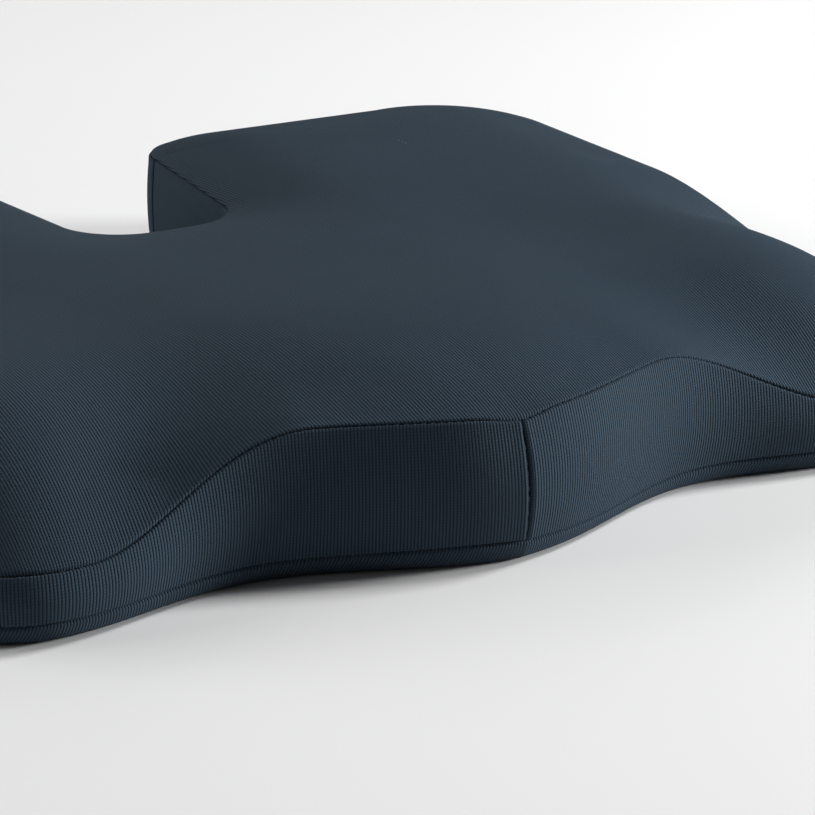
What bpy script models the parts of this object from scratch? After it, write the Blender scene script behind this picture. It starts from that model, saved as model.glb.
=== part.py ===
"""Contoured foam cushion: one foam core in a thin liner, inside a zipped knit cover, with a notch in the back edge.

Blender 4.5, metres, +Z up. The origin is on the flat underside, halfway along the cushion's depth.
+X is the right side, -Y the front edge with its middle bulge, and the notch is open towards +Y.
"""

import math

import bmesh
import bpy
from mathutils import Vector

# Plan of the seam line, for the right half. The left half mirrors it.
SEAM_HALF_WIDTH = 0.2235
FRONT_Y = -0.195
REAR_Y = 0.195
RECESS_X = 0.096
RECESS_BACK = 0.0265
LOBE_X = 0.163
LOBE_BACK = 0.0155
FRONT_CORNER_DEPTH = 0.080
REAR_CORNER_RADIUS = 0.055
NOTCH_END_Y = 0.071
NOTCH_END_HALF_WIDTH = 0.036
NOTCH_MOUTH_HALF_WIDTH = 0.044
NOTCH_END_RADIUS = 0.026
NOTCH_MOUTH_RADIUS = 0.022

# Heights. The top seam is high on the front bulge and at the back, and low on the two front lobes.
BOTTOM_SEAM_Z = 0.0075
BOTTOM_EDGE_INSET = 0.0055
BULGE_SEAM_Z = 0.055
LOBE_SEAM_Z = 0.026
REAR_SEAM_Z = 0.052
CREST_Z = 0.069
SEAT_Z = 0.062
THIGH_GROOVE = 0.005
SLOPE_FROM_X = 0.069
SLOPE_TO_X = 0.158
SIDE_RISE_FROM_Y = -0.110
SIDE_RISE_TO_Y = 0.050

# How far in from the seam the top surface takes to reach its full height, and how round it is.
BULGE_SHOULDER = (0.055, 1.6)
LOBE_SHOULDER = (0.092, 2.5)
REAR_SHOULDER = (0.045, 2.2)

# Layers
COVER_THICKNESS = 0.0015
BAND_SWELL = 0.0015
BULGE_SWELL = 0.0050
LOBE_SWELL = 0.0022
SWELL_FADE_FROM_Y = -0.155
SWELL_FADE_TO_Y = -0.105
LINER_DEPTH = 0.0024
LINER_THICKNESS = 0.0006
FOAM_DEPTH = 0.0034
GAP = 0.0003
BAND_LIFT = 0.0008

# Zip, on the straight run of the right side
ZIP_Z = 0.014
ZIP_GAP = 0.0012
TAPE_HEIGHT = 0.0054
TAPE_THICKNESS = 0.0007
TAPE_OUTER_X = -0.0002
COIL_HEIGHT = 0.002
COIL_THICKNESS = 0.0015
COIL_INNER_X = 0.0001
ZIP_FACING_Z = 0.0203
STOP_LENGTH = 0.003
SLIDER_LENGTH = 0.009
SLIDER_HEIGHT = 0.0084
SLIDER_FRONT_X = 0.0019
SLIDER_PLATE = 0.0009
SLIDER_BACK_X = -0.0012
BRIDGE_SPAN = 0.0056
BRIDGE_RISE = 0.0019
BRIDGE_BAR = 0.0008
BRIDGE_WIDTH = 0.0016
PULL_LENGTH = 0.024
PULL_WIDTH = 0.0056
PULL_THICKNESS = 0.001
PULL_ARM = 0.0012
PULL_WINDOW = 0.0046

# Stations along the half plan: where the front edge and the front corner end, and where the notch's corner lies.
FRONT_ENDS = 0.50
CORNER_ENDS = 0.68
NOTCH_CORNER_FROM = 0.20
NOTCH_CORNER_TO = 0.56
FRONT_STEPS = 14
CORNER_STEPS = 6
SIDE_STEPS = 8
FAN_STEPS = 5
TOP_RINGS = (0.0, 0.07, 0.17, 0.32, 0.52, 0.76, 1.0)
BOTTOM_RINGS = (1.0, 0.45, 0.0)
BAND_RINGS = (0.0, 0.22, 0.5, 0.78, 1.0)

# Where the half skeleton runs, inside the plan: a cubic curve from the middle of the cushion into the leg.
SKELETON = (Vector((0.0, -0.062)), Vector((0.100, -0.062)), Vector((0.131, -0.040)), Vector((0.131, 0.130)))

NAVY = (0.030, 0.045, 0.062)
NAVY_TAPE = (0.022, 0.032, 0.045)
FOAM = (0.82, 0.80, 0.72)
LINER = (0.72, 0.73, 0.74)
ZIP_METAL = (0.10, 0.11, 0.12)


def mix(a, b, share):
    return a + (b - a) * share


def smooth(value, low, high):
    share = min(1.0, max(0.0, (value - low) / (high - low)))
    return share * share * (3.0 - 2.0 * share)


# ---------------------------------------------------------------- plan


def front_edge(x):
    """The wavy front edge: bulge, recess for a thigh, lobe."""
    if x < RECESS_X:
        return FRONT_Y + RECESS_BACK * 0.5 * (1.0 - math.cos(math.pi * x / RECESS_X))
    share = (x - RECESS_X) / (LOBE_X - RECESS_X)
    return FRONT_Y + mix(RECESS_BACK, LOBE_BACK, 0.5 * (1.0 - math.cos(math.pi * share)))


def outer_point(station):
    """Front edge, front corner and side, as the station goes from 0 to 1."""
    corner_y = FRONT_Y + LOBE_BACK + FRONT_CORNER_DEPTH
    if station <= FRONT_ENDS:
        x = LOBE_X * station / FRONT_ENDS
        return Vector((x, front_edge(x)))
    if station <= CORNER_ENDS:
        turn = 0.5 * math.pi * (station - FRONT_ENDS) / (CORNER_ENDS - FRONT_ENDS)
        reach = SEAM_HALF_WIDTH - LOBE_X
        return Vector((LOBE_X + reach * math.sin(turn), corner_y - FRONT_CORNER_DEPTH * math.cos(turn)))
    share = (station - CORNER_ENDS) / (1.0 - CORNER_ENDS)
    return Vector((SEAM_HALF_WIDTH, mix(corner_y, REAR_Y - REAR_CORNER_RADIUS, share)))


def inner_point(station):
    """The notch, from the middle of its closed end to its mouth."""
    radius = NOTCH_END_RADIUS
    start_x = NOTCH_END_HALF_WIDTH - radius
    if station <= NOTCH_CORNER_FROM:
        return Vector((start_x * station / NOTCH_CORNER_FROM, NOTCH_END_Y))
    if station <= NOTCH_CORNER_TO:
        turn = 0.5 * math.pi * (station - NOTCH_CORNER_FROM) / (NOTCH_CORNER_TO - NOTCH_CORNER_FROM)
        return Vector((start_x + radius * math.sin(turn), NOTCH_END_Y + radius * (1.0 - math.cos(turn))))
    share = (station - NOTCH_CORNER_TO) / (1.0 - NOTCH_CORNER_TO)
    x = mix(NOTCH_END_HALF_WIDTH, NOTCH_MOUTH_HALF_WIDTH, share)
    return Vector((x, mix(NOTCH_END_Y + radius, REAR_Y - NOTCH_MOUTH_RADIUS, share)))


def rear_points():
    """The rear corner, the rear edge and the corner at the notch's mouth."""
    points = []
    for step in range(1, FAN_STEPS + 1):
        turn = 0.5 * math.pi * step / FAN_STEPS
        centre = Vector((SEAM_HALF_WIDTH - REAR_CORNER_RADIUS, REAR_Y - REAR_CORNER_RADIUS))
        points.append(centre + REAR_CORNER_RADIUS * Vector((math.cos(turn), math.sin(turn))))
    for step in range(FAN_STEPS):
        turn = 0.5 * math.pi * (1.0 + step / FAN_STEPS)
        centre = Vector((NOTCH_MOUTH_HALF_WIDTH + NOTCH_MOUTH_RADIUS, REAR_Y - NOTCH_MOUTH_RADIUS))
        points.append(centre + NOTCH_MOUTH_RADIUS * Vector((math.cos(turn), math.sin(turn))))
    return points


def skeleton_point(station):
    a, b, c, d = SKELETON
    rest = 1.0 - station
    return a * rest**3 + b * (3 * rest**2 * station) + c * (3 * rest * station**2) + d * station**3


def stations():
    found = [FRONT_ENDS * step / FRONT_STEPS for step in range(FRONT_STEPS)]
    found += [mix(FRONT_ENDS, CORNER_ENDS, step / CORNER_STEPS) for step in range(CORNER_STEPS)]
    found += [mix(CORNER_ENDS, 1.0, step / SIDE_STEPS) for step in range(SIDE_STEPS + 1)]
    return found


def half_plan():
    """(outline point, skeleton point) pairs of the right half, from the front middle round to the notch."""
    outer = [(outer_point(s), skeleton_point(s)) for s in stations()]
    rear = [(point, skeleton_point(1.0)) for point in rear_points()]
    inner = [(inner_point(s), skeleton_point(s)) for s in reversed(stations())]
    return outer + rear + inner


def whole_plan():
    """The closed plan, anticlockwise from above, and each outline point's inward direction."""
    right = half_plan()
    left = [(Vector((-p.x, p.y)), Vector((-q.x, q.y))) for p, q in reversed(right[1:-1])]
    pairs = right + left
    plan = []
    for index, (point, skeleton) in enumerate(pairs):
        along = pairs[(index + 1) % len(pairs)][0] - pairs[index - 1][0]
        inward = Vector((-along.y, along.x)).normalized()
        plan.append((point, skeleton, inward))
    return plan


# ---------------------------------------------------------------- heights


def seam_height(x, y):
    front = mix(BULGE_SEAM_Z, LOBE_SEAM_Z, smooth(abs(x), SLOPE_FROM_X, SLOPE_TO_X))
    return mix(front, REAR_SEAM_Z, smooth(y, SIDE_RISE_FROM_Y, SIDE_RISE_TO_Y))


def shoulder(x, y):
    towards_lobe = smooth(abs(x), SLOPE_FROM_X, SLOPE_TO_X)
    towards_rear = smooth(y, SIDE_RISE_FROM_Y, SIDE_RISE_TO_Y)
    width = mix(mix(BULGE_SHOULDER[0], LOBE_SHOULDER[0], towards_lobe), REAR_SHOULDER[0], towards_rear)
    power = mix(mix(BULGE_SHOULDER[1], LOBE_SHOULDER[1], towards_lobe), REAR_SHOULDER[1], towards_rear)
    return width, power


def swell(x, y):
    """How far the boxing stands out at its middle height. It is fullest on the front bulge."""
    front = mix(BULGE_SWELL, LOBE_SWELL, smooth(abs(x), SLOPE_FROM_X, SLOPE_TO_X))
    return mix(front, BAND_SWELL, smooth(y, SWELL_FADE_FROM_Y, SWELL_FADE_TO_Y))


def crest_height(x, y):
    seat = mix(CREST_Z, SEAT_Z, smooth(y, -0.130, 0.030))
    groove = math.exp(-(((abs(x) - 0.110) / 0.050) ** 2)) * (1.0 - smooth(y, -0.120, 0.080))
    return seat - THIGH_GROOVE * groove


def top_ring(plan, share):
    """One closed line on the top surface, from the seam (0) to the skeleton (1)."""
    ring = []
    for point, skeleton, _ in plan:
        spot = point.lerp(skeleton, share)
        width, power = shoulder(*point)
        risen = min(1.0, (spot - point).length / width)
        low = seam_height(*point)
        height = mix(low, crest_height(*spot), 1.0 - (1.0 - risen) ** power)
        ring.append(Vector((spot.x, spot.y, height)))
    return ring


def wall_ring(plan, inset, height):
    """One closed line set in from the seam line. Inset and height are numbers or functions of x and y."""
    ring = []
    for point, _, inward in plan:
        spot = point + inward * (inset(*point) if callable(inset) else inset)
        ring.append(Vector((spot.x, spot.y, height(*point) if callable(height) else height)))
    return ring


def bottom_rings(plan):
    """The flat underside, and the rounded edge that rises from it to the bottom seam."""
    rings = []
    for share in BOTTOM_RINGS:
        ring = []
        for point, skeleton, inward in plan:
            spot = (point + inward * BOTTOM_EDGE_INSET).lerp(skeleton, share)
            ring.append(Vector((spot.x, spot.y, 0.0)))
        rings.append(ring)
    for degrees in (30.0, 60.0, 90.0):
        lean = math.radians(degrees)
        inset = BOTTOM_EDGE_INSET * (1.0 - math.sin(lean))
        rings.append(wall_ring(plan, inset, BOTTOM_SEAM_Z * (1.0 - math.cos(lean))))
    return rings


def band_rings(plan, low):
    """The boxing: its lower edge, its swollen middle and its upper edge, which stays clear of the top panel."""

    rings = []
    for share in BAND_RINGS:

        def height(x, y, share=share):
            return mix(low, seam_height(x, y) - COVER_THICKNESS - GAP, share)

        def inset(x, y, share=share):
            return -swell(x, y) * 4.0 * share * (1.0 - share)

        rings.append(wall_ring(plan, inset, height))
    return rings


# ---------------------------------------------------------------- meshes


def new_material(name, color, roughness, metallic=0.0):
    material = bpy.data.materials.new(name)
    material.use_nodes = True
    shader = material.node_tree.nodes["Principled BSDF"]
    shader.inputs["Base Color"].default_value = (*color, 1.0)
    shader.inputs["Roughness"].default_value = roughness
    shader.inputs["Metallic"].default_value = metallic
    return material


def place(name, bm, collection, material):
    """A mesh object from a bmesh, with welded points."""
    bmesh.ops.remove_doubles(bm, verts=bm.verts, dist=0.00001)
    mesh = bpy.data.meshes.new(name)
    bm.to_mesh(mesh)
    bm.free()
    obj = bpy.data.objects.new(name, mesh)
    obj.data.materials.append(material)
    collection.objects.link(obj)
    return obj


def loft(rings, closed=True):
    bm = bmesh.new()
    lines = [[bm.verts.new(point) for point in ring] for ring in rings]
    count = len(rings[0])
    for lower, upper in zip(lines, lines[1:]):
        for index in range(count if closed else count - 1):
            after = (index + 1) % count
            bm.faces.new((lower[index], lower[after], upper[after], upper[index]))
    return bm


def thicken(obj, thickness):
    modifier = obj.modifiers.new("thickness", "SOLIDIFY")
    modifier.thickness = thickness
    modifier.offset = -1.0
    modifier.use_even_offset = True


def shrink(bm, depth):
    """Moves every face of a closed surface in by the same depth."""
    bmesh.ops.remove_doubles(bm, verts=bm.verts, dist=0.00001)
    bm.normal_update()
    moves = [(vert, vert.normal * depth * vert.calc_shell_factor()) for vert in bm.verts]
    for vert, move in moves:
        vert.co -= move


def body_surface(plan):
    """The closed outside of the cushion. Its band swells less than the cover's, to stay clear of it."""

    def height(x, y):
        return 0.5 * (BOTTOM_SEAM_Z + seam_height(x, y))

    def inset(x, y):
        return BAND_SWELL - swell(x, y)

    waist = wall_ring(plan, inset, height)
    return loft(bottom_rings(plan) + [waist] + [top_ring(plan, share) for share in TOP_RINGS])


def make_foam(plan, collection):
    bm = body_surface(plan)
    shrink(bm, FOAM_DEPTH)
    return place("foam_core", bm, collection, new_material("foam", FOAM, 0.9))


def make_liner(plan, collection):
    """A thin fitted liner, open underneath in a U-shaped slot through which the foam goes in."""
    bm = body_surface(plan)
    shrink(bm, LINER_DEPTH)
    count = len(plan)
    bm.faces.ensure_lookup_table()
    opening = [face for face in bm.faces if face.index < count]
    bmesh.ops.delete(bm, geom=opening, context="FACES")
    liner = place("inner_liner", bm, collection, new_material("liner", LINER, 0.85))
    thicken(liner, LINER_THICKNESS)
    return liner


def make_panels(plan, collection, knit):
    top = place("top_panel", loft([top_ring(plan, share) for share in TOP_RINGS]), collection, knit)
    thicken(top, COVER_THICKNESS)
    bottom = place("bottom_panel", loft(bottom_rings(plan)), collection, knit.copy())
    bottom.data.materials[0].name = "knit_underside"
    thicken(bottom, COVER_THICKNESS)


def make_band(name, plan, first, last, low, collection, material):
    """One strip of the boxing between two outline points, a half gap short of each."""
    count = len(plan)
    rings = band_rings(plan, low)
    span = [index % count for index in range(first, last + 1)]
    strips = [[ring[index].copy() for index in span] for ring in rings]
    for strip in strips:
        strip[0] += (strip[1] - strip[0]).normalized() * GAP * 0.5
        strip[-1] += (strip[-2] - strip[-1]).normalized() * GAP * 0.5
    band = place(name, loft(strips, closed=False), collection, material)
    thicken(band, COVER_THICKNESS)


def make_bands(plan, collection, knit):
    """Index 0 is the front middle, where the two front strips meet in a visible upright seam."""
    count = len(plan)
    side_start = FRONT_STEPS + CORNER_STEPS
    side_end = side_start + SIDE_STEPS
    mouth = side_end + 2 * FAN_STEPS + 1
    low = BOTTOM_SEAM_Z + BAND_LIFT
    make_band("front_band_right", plan, 0, side_start, low, collection, knit.copy())
    make_band("zip_facing", plan, side_start, side_end, ZIP_FACING_Z, collection, knit.copy())
    make_band("rear_band_right", plan, side_end, mouth, low, collection, knit.copy())
    make_band("notch_band", plan, mouth, count - mouth, low, collection, knit.copy())
    make_band("rear_band_left", plan, count - mouth, count - side_end, low, collection, knit.copy())
    make_band("front_band_left", plan, count - side_end, count, low, collection, knit.copy())


# ---------------------------------------------------------------- zip


def box_mesh(low, high):
    bm = bmesh.new()
    bmesh.ops.create_cube(bm, size=1.0)
    bmesh.ops.scale(bm, vec=[high[axis] - low[axis] for axis in range(3)], verts=bm.verts)
    bmesh.ops.translate(bm, vec=[0.5 * (high[axis] + low[axis]) for axis in range(3)], verts=bm.verts)
    return bm


def add_box(name, low, high, collection, material, round_by=0.0, origin=(0.0, 0.0, 0.0)):
    """A box between two corners given in world coordinates, on an object whose origin is where it is asked."""
    place_at = Vector(origin)
    bm = box_mesh(Vector(low) - place_at, Vector(high) - place_at)
    obj = place(name, bm, collection, material)
    obj.location = place_at
    if round_by:
        bevel = obj.modifiers.new("round", "BEVEL")
        bevel.width = round_by
        bevel.segments = 2
    return obj


def combine(obj, helper, operation):
    helper.hide_render = True
    helper.display_type = "WIRE"
    modifier = obj.modifiers.new(helper.name, "BOOLEAN")
    modifier.operation = operation
    modifier.solver = "EXACT"
    modifier.object = helper


def make_zip_strips(start, end, collection, tape, coil):
    """Both tapes and both coils, and the two stops that end the slider's travel."""
    outer = SEAM_HALF_WIDTH + TAPE_OUTER_X
    inner = outer - TAPE_THICKNESS
    coil_in = SEAM_HALF_WIDTH + COIL_INNER_X
    coil_out = coil_in + COIL_THICKNESS
    half = 0.5 * ZIP_GAP
    run = (start + STOP_LENGTH + GAP, end - STOP_LENGTH - GAP)
    for name, side in (("lower", -1.0), ("upper", 1.0)):
        near = ZIP_Z + side * half
        tape_far = near + side * TAPE_HEIGHT
        coil_far = near + side * COIL_HEIGHT
        low, high = sorted((near, tape_far))
        add_box(f"zip_tape_{name}", (inner, start, low), (outer, end, high), collection, tape.copy())
        low, high = sorted((near, coil_far))
        corners = (coil_in, run[0], low), (coil_out, run[1], high)
        add_box(f"zip_coil_{name}", *corners, collection, coil.copy(), round_by=0.0004)
    for name, low_y in (("front", start), ("rear", end - STOP_LENGTH)):
        low = (coil_in, low_y, ZIP_Z - half - COIL_HEIGHT)
        high = (coil_out, low_y + STOP_LENGTH, ZIP_Z + half + COIL_HEIGHT)
        add_box(f"zip_stop_{name}", low, high, collection, coil.copy(), round_by=0.0003)


def make_slider(y, collection, helpers, metal):
    """Front plate, web between the coils, back plate and the bridge that holds the pull."""
    front = SEAM_HALF_WIDTH + SLIDER_FRONT_X
    back = SEAM_HALF_WIDTH + SLIDER_BACK_X
    half = 0.5 * SLIDER_HEIGHT
    ends = (y - 0.5 * SLIDER_LENGTH, y + 0.5 * SLIDER_LENGTH)
    origin = (front, y, ZIP_Z)
    low = (front, ends[0], ZIP_Z - half)
    high = (front + SLIDER_PLATE, ends[1], ZIP_Z + half)
    slider = add_box("zip_slider", low, high, collection, metal, origin=origin)
    overlap = 0.0001
    web = 0.5 * (ZIP_GAP - 2.0 * GAP)
    low = (back - overlap, ends[0] + 0.001, ZIP_Z - web)
    high = (front + overlap, ends[1] - 0.001, ZIP_Z + web)
    combine(slider, add_box("slider_web", low, high, helpers, metal), "UNION")
    low = (back - 0.0008, ends[0], ZIP_Z - half)
    high = (back, ends[1], ZIP_Z + half)
    combine(slider, add_box("slider_back", low, high, helpers, metal), "UNION")
    top = front + SLIDER_PLATE
    width = 0.5 * BRIDGE_WIDTH
    reach = 0.5 * BRIDGE_SPAN + BRIDGE_BAR
    low = (top - overlap, y - reach, ZIP_Z - width)
    high = (top + BRIDGE_RISE + BRIDGE_BAR, y + reach, ZIP_Z + width)
    combine(slider, add_box("slider_bridge", low, high, helpers, metal), "UNION")
    low = (top, y - 0.5 * BRIDGE_SPAN, ZIP_Z - 2.0 * width)
    high = (top + BRIDGE_RISE, y + 0.5 * BRIDGE_SPAN, ZIP_Z + 2.0 * width)
    combine(slider, add_box("slider_bridge_eye", low, high, helpers, metal), "DIFFERENCE")
    return slider


def make_pull(y, collection, helpers, metal):
    """A flat tab that lies towards the front. Its end bar turns under the slider's bridge, about Z."""
    pivot = Vector((SEAM_HALF_WIDTH + SLIDER_FRONT_X + SLIDER_PLATE + 0.5 * BRIDGE_RISE, y, ZIP_Z))
    half = 0.5 * PULL_THICKNESS
    width = 0.5 * PULL_WIDTH
    low = pivot - Vector((half, PULL_LENGTH, width))
    high = pivot + Vector((half, half, width))
    pull = add_box("zip_pull", low, high, collection, metal, origin=pivot)
    low = pivot - Vector((2.0 * half, half + PULL_WINDOW, width - PULL_ARM))
    high = pivot + Vector((2.0 * half, -half, width - PULL_ARM))
    combine(pull, add_box("pull_window", low, high, helpers, metal), "DIFFERENCE")
    return pull


def make_zip(collection, helpers):
    start = outer_point(CORNER_ENDS).y + GAP
    end = outer_point(1.0).y - GAP
    tape = new_material("zip_tape", NAVY_TAPE, 0.8)
    coil = new_material("zip_coil", NAVY_TAPE, 0.45)
    make_zip_strips(start, end, collection, tape, coil)
    parked = end - STOP_LENGTH - GAP - 0.5 * SLIDER_LENGTH
    make_slider(parked, collection, helpers, new_material("slider_metal", ZIP_METAL, 0.35, 0.9))
    make_pull(parked, collection, helpers, new_material("pull_metal", ZIP_METAL, 0.35, 0.9))


# ---------------------------------------------------------------- assembly


def clear_scene():
    for obj in list(bpy.data.objects):
        bpy.data.objects.remove(obj, do_unlink=True)


def new_collection(name):
    collection = bpy.data.collections.new(name)
    bpy.context.scene.collection.children.link(collection)
    return collection


def main():
    clear_scene()
    cushion = new_collection("contoured_cushion")
    helpers = new_collection("cutters")
    plan = whole_plan()
    knit = new_material("knit", NAVY, 0.85)
    make_foam(plan, cushion)
    make_liner(plan, cushion)
    make_panels(plan, cushion, knit)
    make_bands(plan, cushion, knit)
    make_zip(cushion, helpers)


main()
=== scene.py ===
"""Looks of the contoured foam cushion: sewn panels of ribbed knit over a foam core, and the cover's zip.

Blender 4.5, metres, +Z up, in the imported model's frame: +X is the side with the zip and -Y the front edge.
Each panel is a grid of points. Its columns go round the cushion, and its rows go from one seam to the next.
"""

import math

import bmesh
import bpy
import numpy as np
from mathutils import Matrix, Vector
from mathutils.kdtree import KDTree


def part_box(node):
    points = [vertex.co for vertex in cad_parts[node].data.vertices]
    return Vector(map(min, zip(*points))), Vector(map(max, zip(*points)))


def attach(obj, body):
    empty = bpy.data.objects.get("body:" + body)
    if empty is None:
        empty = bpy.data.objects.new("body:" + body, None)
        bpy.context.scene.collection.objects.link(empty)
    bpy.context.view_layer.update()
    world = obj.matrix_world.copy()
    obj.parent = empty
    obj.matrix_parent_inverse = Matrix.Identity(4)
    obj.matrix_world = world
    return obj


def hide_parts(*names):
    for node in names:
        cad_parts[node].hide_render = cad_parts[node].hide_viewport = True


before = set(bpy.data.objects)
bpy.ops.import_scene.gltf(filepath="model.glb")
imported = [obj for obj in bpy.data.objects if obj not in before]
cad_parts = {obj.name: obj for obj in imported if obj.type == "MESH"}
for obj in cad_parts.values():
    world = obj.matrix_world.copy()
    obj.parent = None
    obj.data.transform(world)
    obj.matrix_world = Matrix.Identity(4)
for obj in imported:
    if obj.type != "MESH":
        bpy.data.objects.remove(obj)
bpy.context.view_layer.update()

# ---- sizes from the frame

TOP_LOW, TOP_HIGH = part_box("top_panel")
HALF_WIDTH = TOP_HIGH.x
FRONT_Y = TOP_LOW.y
REAR_Y = TOP_HIGH.y
BOTTOM_SEAM_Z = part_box("bottom_panel")[1].z
ZIP_START_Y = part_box("zip_tape_lower")[0].y
ZIP_END_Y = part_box("zip_tape_lower")[1].y
ZIP_Z = 0.5 * (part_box("zip_tape_lower")[1].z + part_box("zip_tape_upper")[0].z)
FACING_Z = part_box("zip_facing")[0].z

# ---- shape, close to the CAD source's

RECESS_X = 0.096
RECESS_BACK = 0.0265
LOBE_X = 0.163
LOBE_BACK = 0.0155
FRONT_CORNER_DEPTH = 0.080
REAR_CORNER_RADIUS = 0.055
NOTCH_END_Y = 0.071
NOTCH_END_HALF_WIDTH = 0.036
NOTCH_MOUTH_HALF_WIDTH = 0.044
NOTCH_END_RADIUS = 0.026
NOTCH_MOUTH_RADIUS = 0.022
BOTTOM_EDGE_INSET = 0.0045
BOTTOM_EDGE_LEAN = 0.55
BULGE_SEAM_Z = 0.055
LOBE_SEAM_Z = 0.026
REAR_SEAM_Z = 0.052
CREST_Z = 0.069
SEAT_Z = 0.062
THIGH_GROOVE = 0.005
SLOPE_X = (0.069, 0.158)
SIDE_RISE_Y = (-0.110, 0.050)
BULGE_SHOULDER = (0.055, 1.6)
LOBE_SHOULDER = (0.092, 2.5)
REAR_SHOULDER = (0.045, 2.2)
BULGE_SWELL = 0.0042
LOBE_SWELL = 0.0022
BAND_SWELL = 0.0015
SWELL_FADE_Y = (-0.155, -0.105)
SKELETON = np.array([(0.0, -0.062), (0.100, -0.062), (0.131, -0.040), (0.131, 0.130)])
FRONT_ENDS, CORNER_ENDS = 0.50, 0.68
NOTCH_CORNER = (0.20, 0.56)

# Where the two front strips meet, the upright seam stands forward, draws the top seam down, and leans.
RIDGE, RIDGE_REACH = 0.0016, 0.013
SEAM_DIP, SEAM_DIP_REACH = 0.0021, 0.011
SEAM_LEAN, SEAM_LEAN_REACH = 0.0025, 0.030
# How soon the top panel loses the ridge and the dip, going in from the seam
PANEL_EASE = 0.004
# The bottom seam isn't quite level: it is high left of the middle and low right of it.
WAVER = ((-0.022, 0.024, 0.0010), (0.046, 0.028, -0.0009))

# Seams: how deep the fold goes in, how wide it is, the roll beside it, and the stitch length.
FOLD_DEPTH, FOLD_WIDTH = 0.0009, 0.00045
ROLL, ROLL_AT = 0.00016, 0.0013
LIP = 0.0016
STITCH = 0.0031
NEAR_SEAM = np.array([0.0, 0.12, 0.25, 0.4, 0.6, 0.9, 1.3, 1.9, 2.8, 4.5, 7.5]) * 0.001

# Grid sizes
FRONT_STEPS, CORNER_STEPS, SIDE_STEPS = 112, 52, 96
FAN_STEPS = 26
TOP_ROWS = 46
BAND_ROWS = 16
SIM_STEPS = (30, 12, 20, 8)
SIM_TOP_ROWS = 20
SIM_BAND_ROWS = 7

# Cloth simulation
PRESSURE = 4.0
SIM_STIFFNESS = 30.0
SIM_FRAMES = 20
SIM_CAP = 0.0022
EVEN_COLUMNS, EVEN_ROUNDS = 1200, 40
# The top panel starts this much low, because the simulation raises it
SINK = 0.0010


def mix(a, b, share):
    return a + (b - a) * share


def smooth(value, low, high):
    share = np.clip((value - low) / (high - low), 0.0, 1.0)
    return share * share * (3.0 - 2.0 * share)


# ---- plan


def front_edge(x):
    """The wavy front edge: bulge, recess for a thigh, lobe."""
    bulge = RECESS_BACK * 0.5 * (1.0 - np.cos(np.pi * x / RECESS_X))
    share = (x - RECESS_X) / (LOBE_X - RECESS_X)
    lobe = mix(RECESS_BACK, LOBE_BACK, 0.5 * (1.0 - np.cos(np.pi * share)))
    return FRONT_Y + np.where(x < RECESS_X, bulge, lobe) - ridge(x)


def ridge(x):
    return RIDGE * np.exp(-np.abs(x) / RIDGE_REACH)


def outer_points(stations):
    """Front edge, front corner and side, as the station goes from 0 to 1."""
    corner_y = FRONT_Y + LOBE_BACK + FRONT_CORNER_DEPTH
    x = LOBE_X * np.minimum(stations / FRONT_ENDS, 1.0)
    front = np.stack([x, front_edge(x)], 1)
    turn = 0.5 * np.pi * (stations - FRONT_ENDS) / (CORNER_ENDS - FRONT_ENDS)
    corner_x = LOBE_X + (HALF_WIDTH - LOBE_X) * np.sin(turn)
    corner = np.stack([corner_x, corner_y - FRONT_CORNER_DEPTH * np.cos(turn)], 1)
    share = (stations - CORNER_ENDS) / (1.0 - CORNER_ENDS)
    side_y = mix(corner_y, REAR_Y - REAR_CORNER_RADIUS, share)
    side = np.stack([np.full(len(stations), HALF_WIDTH), side_y], 1)
    on_front, on_corner = stations[:, None] <= FRONT_ENDS, stations[:, None] <= CORNER_ENDS
    return np.where(on_front, front, np.where(on_corner, corner, side))


def inner_points(stations):
    """The notch, from the middle of its closed end to its mouth."""
    start_x = NOTCH_END_HALF_WIDTH - NOTCH_END_RADIUS
    end_x = start_x * stations / NOTCH_CORNER[0]
    end = np.stack([end_x, np.full(len(stations), NOTCH_END_Y)], 1)
    turn = 0.5 * np.pi * (stations - NOTCH_CORNER[0]) / (NOTCH_CORNER[1] - NOTCH_CORNER[0])
    corner_x = start_x + NOTCH_END_RADIUS * np.sin(turn)
    corner = np.stack([corner_x, NOTCH_END_Y + NOTCH_END_RADIUS * (1.0 - np.cos(turn))], 1)
    share = (stations - NOTCH_CORNER[1]) / (1.0 - NOTCH_CORNER[1])
    wall_x = mix(NOTCH_END_HALF_WIDTH, NOTCH_MOUTH_HALF_WIDTH, share)
    wall_y = mix(NOTCH_END_Y + NOTCH_END_RADIUS, REAR_Y - NOTCH_MOUTH_RADIUS, share)
    wall = np.stack([wall_x, wall_y], 1)
    on_end, on_corner = stations[:, None] <= NOTCH_CORNER[0], stations[:, None] <= NOTCH_CORNER[1]
    return np.where(on_end, end, np.where(on_corner, corner, wall))


def rear_points(steps, near):
    """The rear corner, then the corner at the notch's mouth."""
    quarter = 0.5 * np.pi
    first = graded(0.0, quarter, steps, near / REAR_CORNER_RADIUS, 0.0 * near)[1:]
    second = graded(quarter, 2.0 * quarter, steps, 0.0 * near, near / NOTCH_MOUTH_RADIUS)[:-1]
    points = []
    for turn, x, radius in (
        (first, HALF_WIDTH - REAR_CORNER_RADIUS, REAR_CORNER_RADIUS),
        (second, NOTCH_MOUTH_HALF_WIDTH + NOTCH_MOUTH_RADIUS, NOTCH_MOUTH_RADIUS),
    ):
        circle = np.stack([np.cos(turn), np.sin(turn)], 1) * radius
        points.append(circle + (x, REAR_Y - radius))
    return np.concatenate(points)


def skeleton_points(stations):
    """The line inside the plan on which the two sides' rings meet."""
    s = stations[:, None]
    a, b, c, d = SKELETON
    rest = 1.0 - s
    return a * rest**3 + b * (3 * rest**2 * s) + c * (3 * rest * s**2) + d * s**3


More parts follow.
